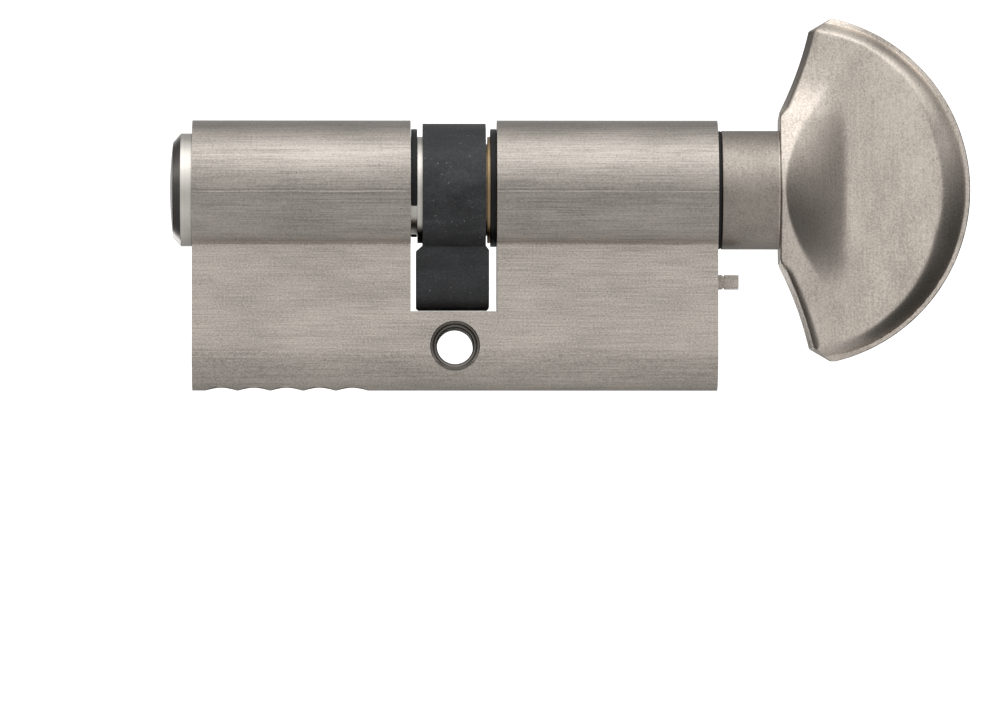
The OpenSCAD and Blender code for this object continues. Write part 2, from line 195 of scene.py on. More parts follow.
class CYL_PG_settings(PropertyGroup):
    """All the cylinder's settings."""
    edges: PointerProperty(name="Edges", description="Broken edges", type=CYL_PG_edges)
    knob: PointerProperty(name="Knob", description="Shape of the knob", type=CYL_PG_knob)
    springs: PointerProperty(name="Springs", description="Wire and turns", type=CYL_PG_springs)
    finish: PointerProperty(name="Finishes", description="Colours", type=CYL_PG_finish)
    stage: PointerProperty(name="Stage", description="Camera and light", type=CYL_PG_stage)


def settings():
    return bpy.context.scene.euro_cylinder


# ---------- materials ----------

def colour(hex_digits, light=1.0):
    """Linear colour from six sRGB hex digits, made lighter or darker by a factor."""
    parts = [int(hex_digits[i:i + 2], 16) / 255 for i in (0, 2, 4)]
    linear = [c / 12.92 if c <= 0.04045 else ((c + 0.055) / 1.055) ** 2.4 for c in parts]
    return tuple(min(1.0, c * light) for c in linear) + (1.0,)


def grey(value):
    return (value, value, value, 1.0)


def add(tree, kind, inputs=None, out=0, stops=(), **options):
    """Adds a node with its options and inputs, links the inputs that come from other nodes, and
    gives back one of its outputs. A colour ramp takes its stops as (position, colour) pairs."""
    node = tree.nodes.new(kind)
    for key, value in options.items():
        setattr(node, key, value)
    for key, value in (inputs or {}).items():
        if isinstance(value, bpy.types.NodeSocket):
            tree.links.new(value, node.inputs[key])
        else:
            node.inputs[key].default_value = value
    if stops:
        marks = node.color_ramp.elements
        for _ in range(len(stops) - len(marks)):
            marks.new(0.5)
        for mark, (position, value) in zip(marks, stops):
            mark.position, mark.color = position, value
    return node.outputs[out]


def features(tree, x, y, z):
    """Object coordinates from the plug axis, as so many features a metre each way."""
    at = add(tree, "ShaderNodeTexCoord", out="Object")
    return add(tree, "ShaderNodeMapping",
               {"Vector": at, "Location": (0.0, 0.0, -AXIS_Z * z), "Scale": (x, y, z)})


def weighted(tree, *pairs):
    """Sum of patterns, each times its weight."""
    total = 0.0
    for pattern, weight in pairs:
        total = add(tree, "ShaderNodeMath", {0: pattern, 1: weight, 2: total}, operation="MULTIPLY_ADD")
    return total


def new_material(name, **shader_values):
    """Material with one Principled shader, whose uniform numbers are set on its own sockets."""
    material = bpy.data.materials.new(name)
    material.use_nodes = True
    shader = material.node_tree.nodes["Principled BSDF"]
    for key, value in shader_values.items():
        shader.inputs[key.replace("_", " ")].default_value = value
    return material, material.node_tree, shader


def dress(tree, shader, shade, roughness, height, depth):
    """Links a finish's colour, roughness and fine relief to its shader."""
    tree.links.new(shade, shader.inputs["Base Color"])
    tree.links.new(roughness, shader.inputs["Roughness"])
    relief = add(tree, "ShaderNodeBump", {"Height": height, "Distance": depth})
    tree.links.new(relief, shader.inputs["Normal"])


def brushed_nickel():
    """Satin nickel plate on brass bar. The head is linished lengthwise, which leaves fine lines and a
    broken line where the belts' passes meet, painted as bright and dark bands: a painted highlight and
    painted shade of the small ridge there. The head is painted darker than the web, partly for the two
    finishes and partly as painted shade; the web is vapour blasted and only lightly brushed. Small pits
    show through the plate, painted dark as painted shade in the pits, and the tapped hole is painted
    darker inside, as painted shade in the hole, with its thread."""
    base = settings().finish.nickel
    material, tree, shader = new_material("Satin nickel, brushed lengthwise", Metallic=1.0)
    lines = add(tree, "ShaderNodeTexNoise",
                {"Vector": features(tree, 70, 6000, 6000), "Scale": 1.0, "Detail": 3.0, "Roughness": 0.65})
    scratches = add(tree, "ShaderNodeTexNoise",
                    {"Vector": features(tree, 210, 14000, 14000), "Scale": 1.0, "Detail": 1.0})
    clouds = add(tree, "ShaderNodeTexNoise",
                 {"Vector": features(tree, 90, 210, 210), "Scale": 1.0, "Detail": 4.0, "Roughness": 0.6})
    grain = add(tree, "ShaderNodeTexNoise",
                {"Vector": features(tree, 4300, 5600, 5600), "Scale": 1.0, "Detail": 2.0, "Roughness": 0.7})
    specks = add(tree, "ShaderNodeTexNoise",
                 {"Vector": features(tree, 3400, 3900, 3900), "Scale": 1.0, "Detail": 1.0})
    streaks = weighted(tree, (lines, 0.55), (scratches, 0.45))
    at = add(tree, "ShaderNodeSeparateXYZ", {"Vector": features(tree, 1, 1, 1)}, out="Z")
    web = add(tree, "ShaderNodeMapRange",
              {"Value": at, "From Min": HEAD_END, "From Max": WEB_TOP, "To Min": 0.0, "To Max": 1.0})
    line_share = add(tree, "ShaderNodeMapRange", {"Value": web, "To Min": 0.6, "To Max": 0.5})
    grain_share = add(tree, "ShaderNodeMapRange", {"Value": web, "To Min": 0.4, "To Max": 0.5})
    lined = add(tree, "ShaderNodeMath", {0: streaks, 1: line_share}, operation="MULTIPLY")
    fine = add(tree, "ShaderNodeMath", {0: grain, 1: grain_share, 2: lined}, operation="MULTIPLY_ADD")
    mixed = weighted(tree, (fine, 0.82), (clouds, 0.18))
    plate = add(tree, "ShaderNodeValToRGB", {"Fac": mixed},
                stops=((0.41, colour(base, 0.68)), (0.5, colour(base)), (0.59, colour(base, 1.28))))
    # The head is painted darker than the web: partly the two finishes, partly painted shade set for how
    # bright each looks under the studio light.
    head_tone_and_painted_shade = add(tree, "ShaderNodeMapRange", {"Value": web, "To Min": 0.64, "To Max": 1.06})
    toned_and_shaded = add(tree, "ShaderNodeMix", {"Factor": 1.0, "A": plate, "B": head_tone_and_painted_shade}, out="Result",
                data_type="RGBA", blend_type="MULTIPLY")

    # The line where the belts' passes meet is painted as bright and dark bands over the scratches: a painted
    # highlight and painted shade of the small ridge there.
    seam_at = add(tree, "ShaderNodeMath", {0: clouds, 1: SEAM_WANDER, 2: at}, operation="MULTIPLY_ADD")
    seam_highlight_and_shade = add(tree, "ShaderNodeValToRGB",
               {"Fac": add(tree, "ShaderNodeMapRange",
                           {"Value": seam_at, "From Min": SEAM_BAND[0], "From Max": SEAM_BAND[1]})},
               stops=((0.42, grey(1.0)), (0.53, grey(0.72)), (0.58, grey(0.84)), (0.61, grey(1.6)),
                      (0.66, grey(1.5)), (0.70, grey(0.5)), (0.76, grey(0.7)), (0.84, grey(1.0))))
    with_seam_highlight_and_shade = add(tree, "ShaderNodeMix", {"Factor": scratches, "A": toned_and_shaded,
                                         "B": add(tree, "ShaderNodeMix",
                                                  {"Factor": 1.0, "A": toned_and_shaded, "B": seam_highlight_and_shade}, out="Result",
                                                  data_type="RGBA", blend_type="MULTIPLY")},
                 out="Result", data_type="RGBA")
    # Small pits are painted dark: painted shade in the pits, beside their dent in the relief.
    pits = add(tree, "ShaderNodeMapRange",
               {"Value": specks, "From Min": 0.71, "From Max": 0.78, "To Min": 0.0, "To Max": 0.45})
    with_pit_shade = add(tree, "ShaderNodeMix", {"Factor": pits, "A": with_seam_highlight_and_shade, "B": colour(base, 0.12)},
                 out="Result", data_type="RGBA")

    flat = add(tree, "ShaderNodeVectorMath",
               {0: add(tree, "ShaderNodeTexCoord", out="Object"), 1: (1.0, 0.0, 1.0)},
               operation="MULTIPLY")
    reach = add(tree, "ShaderNodeVectorMath", {0: flat}, out="Value", operation="LENGTH")
    # Inside the tapped hole the plate is painted darker: painted shade in the hole. The thread's relief is
    # kept to the hole as well.
    hole = add(tree, "ShaderNodeMapRange",
               {"Value": reach, "From Min": HOLE_SHADE_TO, "From Max": HOLE_PLATED, "To Min": 1.0,
                "To Max": 0.0})
    shade = add(tree, "ShaderNodeMix", {"Factor": hole, "A": with_pit_shade, "B": colour(base, 0.42)},
                out="Result", data_type="RGBA")
    depth = add(tree, "ShaderNodeSeparateXYZ", {"Vector": features(tree, 1, 1, 1)}, out="Y")
    thread = add(tree, "ShaderNodeMath",
                 {0: add(tree, "ShaderNodeMath", {0: depth, 1: 2 * math.pi / THREAD_STEP},
                         operation="MULTIPLY")}, operation="SINE")
    cut_thread = add(tree, "ShaderNodeMath", {0: thread, 1: hole}, operation="MULTIPLY")
    worn = add(tree, "ShaderNodeMapRange", {"Value": web, "To Min": 0.27, "To Max": 0.52})
    roughness = weighted(tree, (streaks, 0.08), (worn, 1.0))
    height = weighted(tree, (fine, 1.0), (pits, -1.2), (cut_thread, 5.0))
    dress(tree, shader, shade, roughness, height, 0.012 * MM)
    return material


def turned_nickel():
    """Nickel plate over a lathe-turned plug: rings round the axis, brighter and smoother than the bar."""
    base = settings().finish.turned
    material, tree, shader = new_material("Nickel, lathe turned", Metallic=1.0)
    flat = add(tree, "ShaderNodeVectorMath", {0: features(tree, 1, 1, 1), 1: (0.0, 1.0, 1.0)},
               operation="MULTIPLY")
    reach = add(tree, "ShaderNodeVectorMath", {0: flat}, out="Value", operation="LENGTH")
    along = add(tree, "ShaderNodeSeparateXYZ", {"Vector": features(tree, 1, 1, 1)}, out="X")
    rings_at = add(tree, "ShaderNodeVectorMath",
                   {0: add(tree, "ShaderNodeCombineXYZ", {"X": along, "Y": reach}), 1: (6500, 6500, 0)},
                   operation="MULTIPLY")
    rings = add(tree, "ShaderNodeTexNoise", {"Vector": rings_at, "Scale": 1.0, "Detail": 2.0})
    clouds = add(tree, "ShaderNodeTexNoise", {"Vector": features(tree, 300, 300, 300), "Scale": 1.0})
    mixed = weighted(tree, (rings, 0.6), (clouds, 0.4))
    shade = add(tree, "ShaderNodeValToRGB", {"Fac": mixed},
                stops=((0.3, colour(base, 0.85)), (0.7, colour(base, 1.1))))
    roughness = add(tree, "ShaderNodeMapRange", {"Value": rings, "To Min": 0.2, "To Max": 0.34})
    dress(tree, shader, shade, roughness, rings, 0.006 * MM)
    return material


def cast_nickel():
    """Satin nickel on a die-cast zinc knob, vapour blasted all over and rubbed by hand along the
    scoop: an even, fine speckle, soft patches, and a few pits of the casting, painted dark as painted
    shade in the pits. The neck is painted darker than the knob, a painted shade where it sits between
    the housing and the knob."""
    base = settings().finish.cast
    material, tree, shader = new_material("Satin nickel, die cast and blasted", Metallic=1.0)
    speckle = add(tree, "ShaderNodeTexNoise",
                  {"Vector": features(tree, 4600, 4600, 4600), "Scale": 1.0, "Detail": 2.0,
                   "Roughness": 0.75})
    rubbed = add(tree, "ShaderNodeTexNoise",
                 {"Vector": features(tree, 4200, 2500, 260), "Scale": 1.0, "Detail": 2.0})
    patches = add(tree, "ShaderNodeTexNoise",
                  {"Vector": features(tree, 150, 150, 110), "Scale": 1.0, "Detail": 4.0, "Roughness": 0.6})
    specks = add(tree, "ShaderNodeTexNoise",
                 {"Vector": features(tree, 3600, 3600, 3600), "Scale": 1.0, "Detail": 1.0})
    mixed = weighted(tree, (speckle, 0.5), (rubbed, 0.14), (patches, 0.36))
    plate = add(tree, "ShaderNodeValToRGB", {"Fac": mixed},
                stops=((0.40, colour(base, 0.74)), (0.5, colour(base)), (0.60, colour(base, 1.2))))
    # The neck is painted darker than the knob: painted shade where it sits between the housing and the knob,
    # with the knob a little lighter.
    at = add(tree, "ShaderNodeSeparateXYZ", {"Vector": features(tree, 1, 1, 1)}, out="X")
    neck = add(tree, "ShaderNodeMapRange", {"Value": at, "From Min": KNOB_BACK - NECK_BLUR,
                                            "From Max": KNOB_BACK, "To Min": 0.56, "To Max": 1.04})
    toned_and_shaded = add(tree, "ShaderNodeMix", {"Factor": 1.0, "A": plate, "B": neck}, out="Result",
                data_type="RGBA", blend_type="MULTIPLY")
    # The casting's pits are painted dark: painted shade in the pits, beside their dent in the relief.
    pits = add(tree, "ShaderNodeMapRange",
               {"Value": specks, "From Min": 0.72, "From Max": 0.78, "To Min": 0.0, "To Max": 0.5})
    shade = add(tree, "ShaderNodeMix", {"Factor": pits, "A": toned_and_shaded, "B": colour(base, 0.15)},
                out="Result", data_type="RGBA")
    roughness = add(tree, "ShaderNodeMapRange", {"Value": mixed, "To Min": 0.5, "To Max": 0.33})
    height = weighted(tree, (speckle, 1.0), (pits, -1.0))
    dress(tree, shader, shade, roughness, height, 0.02 * MM)
    return material


def blackened_steel():
    """Sintered steel cam, steam blackened: matt near-black with an open grain, paler dusty rubbing
    in bands round the ring, and light specks where the oxide has chipped."""
    base, chipped = settings().finish.black, settings().finish.chip
    material, tree, shader = new_material("Sintered steel, steam blackened", Metallic=0.3)
    grain = add(tree, "ShaderNodeTexNoise",
                {"Vector": features(tree, 3600, 3600, 3600), "Scale": 1.0, "Detail": 3.0, "Roughness": 0.7})
    smears = add(tree, "ShaderNodeTexNoise",
                 {"Vector": features(tree, 200, 420, 420), "Scale": 1.0, "Detail": 4.0, "Roughness": 0.6})
    specks = add(tree, "ShaderNodeTexNoise",
                 {"Vector": features(tree, 3100, 3100, 3100), "Scale": 1.0, "Detail": 1.0})
    mixed = weighted(tree, (grain, 0.5), (smears, 0.5))
    oxide = add(tree, "ShaderNodeValToRGB", {"Fac": mixed},
                stops=((0.36, colour(base, 0.55)), (0.5, colour(base)), (0.64, colour(base, 1.9))))
    chips = add(tree, "ShaderNodeMapRange",
                {"Value": specks, "From Min": 0.72, "From Max": 0.78, "To Min": 0.0, "To Max": 0.5})
    shade = add(tree, "ShaderNodeMix", {"Factor": chips, "A": oxide, "B": colour(chipped)},
                out="Result", data_type="RGBA")
    roughness = add(tree, "ShaderNodeMapRange", {"Value": mixed, "To Min": 0.36, "To Max": 0.62})
    dress(tree, shader, shade, roughness, grain, 0.03 * MM)
    return material


def grained_metal(name, hex_digits, roughness, grain_size, spread=0.18, metallic=1.0):
    """Metal whose own grain, at so many features a metre, shifts its colour and roughness a little."""
    material, tree, shader = new_material(name, Metallic=metallic)
    grain = add(tree, "ShaderNodeTexNoise",
                {"Vector": features(tree, *grain_size), "Scale": 1.0, "Detail": 3.0, "Roughness": 0.6})
    shade = add(tree, "ShaderNodeValToRGB", {"Fac": grain},
                stops=((0.3, colour(hex_digits, 1 - spread)), (0.7, colour(hex_digits, 1 + spread))))
    varied = add(tree, "ShaderNodeMapRange",
                 {"Value": grain, "To Min": roughness - 0.1, "To Max": roughness + 0.1})
    dress(tree, shader, shade, varied, grain, 0.006 * MM)
    return material


def phosphated_steel():
    """Stamped spring steel, phosphated and oiled: dark and a little glossy."""
    base = settings().finish.clip
    return grained_metal("Spring steel, phosphated", base, 0.38, (2600, 1400, 1400), 0.35, 0.6)


def turned_brass():
    """Free-machining brass, turned: fine rings across the pins and a warm yellow."""
    return grained_metal("Brass, turned", settings().finish.brass, 0.26, (900, 900, 9000))


def turned_nickel_silver():
    """Nickel silver rod, turned and a little tarnished, which gives a brownish gold."""
    return grained_metal("Nickel silver, turned", settings().finish.silver, 0.34, (9000, 700, 700))


def turned_steel():
    """Free-cutting steel, turned: cool grey with fine rings."""
    return grained_metal("Steel, turned", settings().finish.steel, 0.28, (900, 900, 9000))


def drawn_wire():
    """Stainless wire, cold drawn: smooth, with faint die lines."""
    return grained_metal("Stainless wire, drawn", settings().finish.wire, 0.24, (6000, 6000, 6000), 0.1)


def black_oxide():
    """Hardened steel screw, black oxide and oil: dark with a dull shine."""
    return grained_metal("Steel, black oxide", settings().finish.screw, 0.36, (4000, 4000, 4000), 0.3, 0.8)


def moulded_nylon():
    """Glass-filled nylon, moulded: matt black with a faint sparkle of fibres."""
    base = settings().finish.nylon
    material, tree, shader = new_material("Nylon, moulded", Specular_IOR_Level=0.4)
    fibres = add(tree, "ShaderNodeTexNoise",
                 {"Vector": features(tree, 5000, 5000, 1600), "Scale": 1.0, "Detail": 2.0})
    shade = add(tree, "ShaderNodeValToRGB", {"Fac": fibres},
                stops=((0.3, colour(base, 0.7)), (0.7, colour(base, 1.5))))
    roughness = add(tree, "ShaderNodeMapRange", {"Value": fibres, "To Min": 0.5, "To Max": 0.7})
    dress(tree, shader, shade, roughness, fibres, 0.01 * MM)
    return material


MAKERS = {
    "brushed_nickel": brushed_nickel, "turned_nickel": turned_nickel, "cast_nickel": cast_nickel,
    "blackened_steel": blackened_steel, "spring_steel_black": phosphated_steel, "pin_brass": turned_brass,
    "pin_steel": turned_steel, "spring_wire": drawn_wire, "spindle_metal": turned_nickel_silver,
    "black_nylon": moulded_nylon, "black_oxide_screw": black_oxide,
}
SLOT_OF = {part["node"]: part["material_slot"] for part in frame["record"]["subparts"]}
BODY_OF = {node: body for body, nodes in frame["record"]["behaviour"]["bodies"].items() for node in nodes}
made = {}


def material_of(slot):
    """The material of one of the record's slots, made when it is first wanted."""
    if slot not in made:
        made[slot] = MAKERS[slot]()
    return made[slot]


def coat(thing, slot):
    thing.data.materials.clear()
    thing.data.materials.append(material_of(slot))


def keep_node(*nodes):
    """CAD nodes whose shape stays: they only get their finish."""
    for node in nodes:
        coat(frame["nodes"][node], SLOT_OF[node])


# ---------- shapes ----------

def even_normals(mesh, smooth_angle):
    """Corner normals weighted by face area, so that a broad face stays flat beside its broken edges."""
    limit = math.cos(math.radians(smooth_angle))
    faces = [(face.normal.copy(), face.area, tuple(face.vertices)) for face in mesh.polygons]
    around = [[] for _ in mesh.vertices]
    for face in faces:
        for corner in face[2]:
            around[corner].append(face)
    normals = []
    for normal, _, corners in faces:
        for corner in corners:
            near = [other[0] * other[1] for other in around[corner] if other[0].dot(normal) > limit]
            normals.append(sum(near, Vector()).normalized())
    mesh.normals_split_custom_set(normals)


def finished(bm, name, node, smooth_angle=30.0):
    """Turns a bmesh into the piece that stands for a CAD node, with its finish."""
    bmesh.ops.recalc_face_normals(bm, faces=bm.faces)
    mesh = bpy.data.meshes.new(name)
    bm.to_mesh(mesh)
    bm.free()
    piece = bpy.data.objects.new(name, mesh)
    bpy.context.scene.collection.objects.link(piece)
    mesh.shade_smooth()
    even_normals(mesh, smooth_angle)
    coat(piece, SLOT_OF[node])
    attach(piece, BODY_OF[node])
    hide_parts(node)
    return piece


def merged_copy(node):
    """A CAD node's shape with its loose triangles joined into whole flat faces."""
    bm = bmesh.new()
    bm.from_mesh(frame["nodes"][node].data)
    bmesh.ops.remove_doubles(bm, verts=bm.verts, dist=SAME_POINT)
    bmesh.ops.dissolve_degenerate(bm, edges=bm.edges, dist=SAME_POINT)
    bmesh.ops.dissolve_limit(bm, angle_limit=math.radians(0.6), verts=bm.verts, edges=bm.edges)
    return bm


def sharp_edges(bm, angle=28.0):
    limit = math.radians(angle)
    return [e for e in bm.edges if e.is_manifold and e.calc_face_angle(0.0) > limit]


def break_edges(bm, width, segments=2, angle=28.0, chosen=None):
    """Rounds off the sharp edges of a shape."""
    edges = [e for e in sharp_edges(bm, angle) if chosen is None or chosen(e)]
    bmesh.ops.bevel(bm, geom=edges, offset=width, offset_type="OFFSET", segments=segments, profile=0.5,
                    affect="EDGES", clamp_overlap=True, material=-1)


def eased(node, name, width, segments=2, angle=28.0, chosen=None):
    """The piece for a CAD node, the same shape with broken edges."""
    bm = merged_copy(node)
    break_edges(bm, width, segments, angle, chosen)
    return finished(bm, name, node)


HOLLOW_SLOPE = 0.5                        # at which the knob's hollow back leaves the hub
HOLLOW_CURVE = 0.0137                     # how much that slope falls off, per millimetre
TIP_SLOPE = 1.71                          # of the bevel that cuts each tip
SCOOP_CURVE = 0.035                       # how much the scoop's near end bows, per millimetre
LAND_SLOPE = 4.4                          # at which the rim rises from the parting land
RIM_POWER = 1.5                           # higher values fall later and more steeply
RIM_SHARE = 0.7                           # the most of the blade that the rim may take away
BACK_EDGE = 0.1                           # share of the thickness left at the back's parting line
TIP_EDGE = 0.4                            # share of the thickness left at the tips' ends
HUB_FADE = 0.6 * MM                       # to each side of the hub's end, where its wall changes
BACK_BAND = (3 * MM, 12 * MM)             # from the back, where the taper fades out
NARROW_BAND = (6 * MM, 18 * MM)           # from the axis, where the rim band narrows
KNOB_MERGE = 0.002 * MM                   # points of the knob's grid nearer than this are merged


def knob_outline(shape, z):
    """Back edge and rim of the knob, from its back, at height z from the plug axis."""
    height = abs(z)
    rim = (KNOB_RIM - KNOB_BACK - shape.rim_radius) + math.sqrt(shape.rim_radius ** 2 - z * z)
    corner = KNOB_TIP - shape.tip_bevel

    def hollow(d):
        return HOLLOW_SLOPE * d - HOLLOW_CURVE * d * d / MM

    if height < shape.hub_flat:
        back = 0.0
    elif height < corner:
        back = hollow(height - shape.hub_flat)
    else:
        back = hollow(corner - shape.hub_flat) + TIP_SLOPE * (height - corner)
    return back, rim


def share(value, low, high):
    """How far a value lies from low to high, from 0 to 1."""
    return min(1.0, max(0.0, (value - low) / (high - low)))


def ease(t):
    return t * t * (3 - 2 * t)


def bulge(t):
    """Quarter round: 0 at the edge, 1 where it meets the flat."""
    t = 1 - min(1.0, max(0.0, t))
    return math.sqrt(max(0.0, 1 - t * t))


def knob_half_thickness(shape, x, z):
    """Half the knob's thickness at x from its back and z from the plug axis."""
    back, rim = knob_outline(shape, z)
    height = min(abs(z), shape.hub_top)
    rise = (shape.hub - shape.blade) * (0.5 + 0.5 * math.cos(math.pi * height / shape.hub_top))
    scoop_start = shape.scoop_start + SCOOP_CURVE * height * height / MM
    run = 1 - share(x, scoop_start, shape.scoop_end)
    from_rim = shape.rim_radius - math.hypot(x - (KNOB_RIM - KNOB_BACK - shape.rim_radius), z)
    dish = shape.dish * ease(share(from_rim, shape.rim_band, 3 * shape.rim_band)) * (1 - run)
    slope = (1 + shape.scoop_soft) / (run + shape.scoop_soft)
    near_back = 1 - ease(share(x, *BACK_BAND))
    taper = shape.taper * max(0.0, abs(z) - shape.taper_from) * near_back
    full = shape.blade + rise * run * run * slope - dish - taper

    away = ease(share(abs(z), shape.hub_flat - HUB_FADE, shape.hub_flat + HUB_FADE))
    lean = shape.draft * away
    corner = shape.hub_corner + (shape.blade_corner - shape.hub_corner) * away
    from_back = x - back
    if from_back < lean:
        at_back = (full - corner) * (BACK_EDGE + (1 - BACK_EDGE) * from_back / lean)
    else:
        at_back = full - corner + corner * bulge((from_back - lean) / corner)
    narrowed = 1 - shape.rim_narrow * share(abs(z), *NARROW_BAND)
    fall = 1 - share(from_rim, shape.draft, shape.draft + shape.rim_band * narrowed)
    rim_fall = min(shape.rim_drop * fall ** RIM_POWER, RIM_SHARE * full)
    at_rim = min(full - rim_fall, shape.land + LAND_SLOPE * from_rim)
    tip = TIP_EDGE + (1 - TIP_EDGE) * bulge((KNOB_TIP - abs(z)) / shape.tip_round)
    return min(at_back, at_rim) * tip


def knob_mesh(shape):
    """One face of the knob from a grid, closed round its edge and mirrored."""
    bm = bmesh.new()
    bmesh.ops.create_grid(bm, x_segments=shape.across, y_segments=shape.along, size=1.0)
    for vert in bm.verts:
        z = KNOB_TIP * math.sin(math.pi / 2 * vert.co.y)
        back, rim = knob_outline(shape, z)
        x = back + (rim - back) * (0.5 + 0.5 * math.sin(math.pi / 2 * vert.co.x))
        vert.co = (x, -knob_half_thickness(shape, x, z), z)
    rim_edges = [e for e in bm.edges if e.is_boundary]
    wall = bmesh.ops.extrude_edge_only(bm, edges=rim_edges)["geom"]
    for vert in wall:
        if isinstance(vert, bmesh.types.BMVert):
            vert.co.y = 0.0
    bmesh.ops.remove_doubles(bm, verts=bm.verts, dist=KNOB_MERGE)
    bmesh.ops.mirror(bm, geom=bm.verts[:] + bm.edges[:] + bm.faces[:], axis="Y", merge_dist=2 * KNOB_MERGE)
    bmesh.ops.dissolve_degenerate(bm, edges=bm.edges, dist=SAME_POINT)
    bmesh.ops.translate(bm, verts=bm.verts, vec=(KNOB_BACK, 0.0, AXIS_Z))
    return bm


CLOSED_GAP = 1.04                         # pitch of a closed turn, in wire widths


def coil_mesh(foot, head, coil_radius, wire_radius, turns, sides=8, steps=20):
    """A compression spring on Z with one closed turn at each end, swept round its axis."""
    bm = bmesh.new()
    ring = bmesh.ops.create_circle(bm, cap_ends=True, radius=wire_radius, segments=sides)["verts"]
    bmesh.ops.rotate(bm, verts=ring, matrix=Matrix.Rotation(math.pi / 2, 3, "X"), cent=(0, 0, 0))
    bmesh.ops.translate(bm, verts=ring, vec=(coil_radius, 0, foot + wire_radius))
    closed = 2 * wire_radius * CLOSED_GAP
    open_pitch = (head - foot - 2 * wire_radius - 2 * closed) / (turns - 2)
    geom = bm.verts[:] + bm.edges[:] + bm.faces[:]
    for pitch, count in ((closed, 1), (open_pitch, turns - 2), (closed, 1)):
        swept = bmesh.ops.spin(bm, geom=geom, cent=(0, 0, 0), axis=(0, 0, 1), steps=steps * count,
                               angle=2 * math.pi * count, dvec=(0, 0, pitch / steps),
                               use_merge=False, use_duplicate=False)
        geom = swept["geom_last"]
    return bm


# ---------- operators ----------

class CYL_OT_housing(Operator):
    """Housing of brushed bar with its edges broken, its chamber caps and its locating peg."""
    bl_idname = "euro_cylinder.housing"
    bl_label = "Housing"

    def execute(self, context):
        edges = settings().edges
        eased("housing", "housing_bar", edges.housing)
        eased("chamber_caps", "pressed_chamber_caps", edges.cap)
        eased("locating_peg", "square_locating_peg", edges.peg)
        return {"FINISHED"}


class CYL_OT_key_plug(Operator):
    """Turned key plug with its keyway, and the clip that holds it."""
    bl_idname = "euro_cylinder.key_plug"
    bl_label = "Key plug"

    def execute(self, context):
        edges = settings().edges
        eased("key_plug", "turned_key_plug", edges.plug)
        eased("key_plug_clip", "key_side_clip", edges.clip)
        return {"FINISHED"}


class CYL_OT_cam(Operator):
    """Sintered cam with its tongue."""
    bl_idname = "euro_cylinder.cam"
    bl_label = "Cam"

    def execute(self, context):
        eased("cam", "sintered_cam", settings().edges.cam, segments=3)
        return {"FINISHED"}


class CYL_OT_spindle(Operator):
    """Thumbturn spindle, its clip and the friction washer."""
    bl_idname = "euro_cylinder.spindle"
    bl_label = "Spindle"

    def execute(self, context):
        eased("turn_clip", "turn_side_clip", settings().edges.clip)
        keep_node("turn_spindle", "friction_washer")
        return {"FINISHED"}


class CYL_OT_neck(Operator):
    """Neck collar and its grub screw."""
    bl_idname = "euro_cylinder.neck"
    bl_label = "Neck"

    def execute(self, context):
        edges = settings().edges
        eased("neck_collar", "cast_neck_collar", edges.collar, segments=3)
        eased("grub_screw", "hex_socket_grub_screw", edges.screw)
        return {"FINISHED"}


class CYL_OT_knob(Operator):
    """Cast half-moon knob with its scooped hub."""
    bl_idname = "euro_cylinder.knob"
    bl_label = "Knob"

    def execute(self, context):
        finished(knob_mesh(settings().knob), "half_moon_knob", "knob", smooth_angle=50.0)
        return {"FINISHED"}


class CYL_OT_pins(Operator):
    """Key pins and driver pins, and the two clutch dogs."""
    bl_idname = "euro_cylinder.pins"
    bl_label = "Pins and clutch"

    def execute(self, context):
        for i in range(1, PINS + 1):
            keep_node(f"key_pin_{i}", f"driver_pin_{i}")
        edges = settings().edges
        eased("key_clutch", "key_side_clutch_dog", edges.clutch)
        eased("turn_clutch", "turn_side_clutch_dog", edges.clutch)
        return {"FINISHED"}


class CYL_OT_springs(Operator):
    """Springs behind the drivers and behind the clutch."""
    bl_idname = "euro_cylinder.springs"
    bl_label = "Springs"

    def execute(self, context):
        wires = settings().springs
        for i in range(1, PINS + 1):
            node = f"pin_spring_{i}"
            low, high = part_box(node)
            bm = coil_mesh(0.0, high.z - low.z, wires.driver_coil, wires.driver_wire, wires.driver_turns)
            bmesh.ops.translate(bm, verts=bm.verts, vec=(middle(node).x, 0.0, low.z))
            piece = finished(bm, f"driver_spring_{i}", node)
            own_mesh(piece)
        low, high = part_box("clutch_spring")
        bm = coil_mesh(0.0, high.x - low.x, wires.clutch_coil, wires.clutch_wire, wires.clutch_turns,
                       sides=10)
        turn = Matrix.Rotation(math.pi / 2, 4, "Y")
        bmesh.ops.transform(bm, matrix=Matrix.Translation((low.x, 0.0, AXIS_Z)) @ turn, verts=bm.verts)
        piece = finished(bm, "clutch_return_spring", "clutch_spring")
        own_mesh(piece)
        return {"FINISHED"}


# Brightness of the studio, by the angle in degrees up from the camera's side: 0 is level toward the
# camera, 90 straight up and -90 straight down.
STUDIO_BAND = ((-180, 0.6), (-160, 0.24), (-128, 0.34), (-104, 0.5), (-80, 0.48), (-45, 0.58),
               (-12, 0.50), (0, 0.55), (16, 0.74), (40, 1.0), (62, 1.06), (84, 0.9), (106, 0.66),
               (122, 0.36), (150, 0.3), (180, 0.5))
STUDIO_SIDE = 0.94                        # how much of the light the dark sides take away
STUDIO_LEFT = 0.92                        # how dark the left side is, against the right
SWEEP_LIGHT = 1.5                         # of the lit sweep, which walls facing left and down show


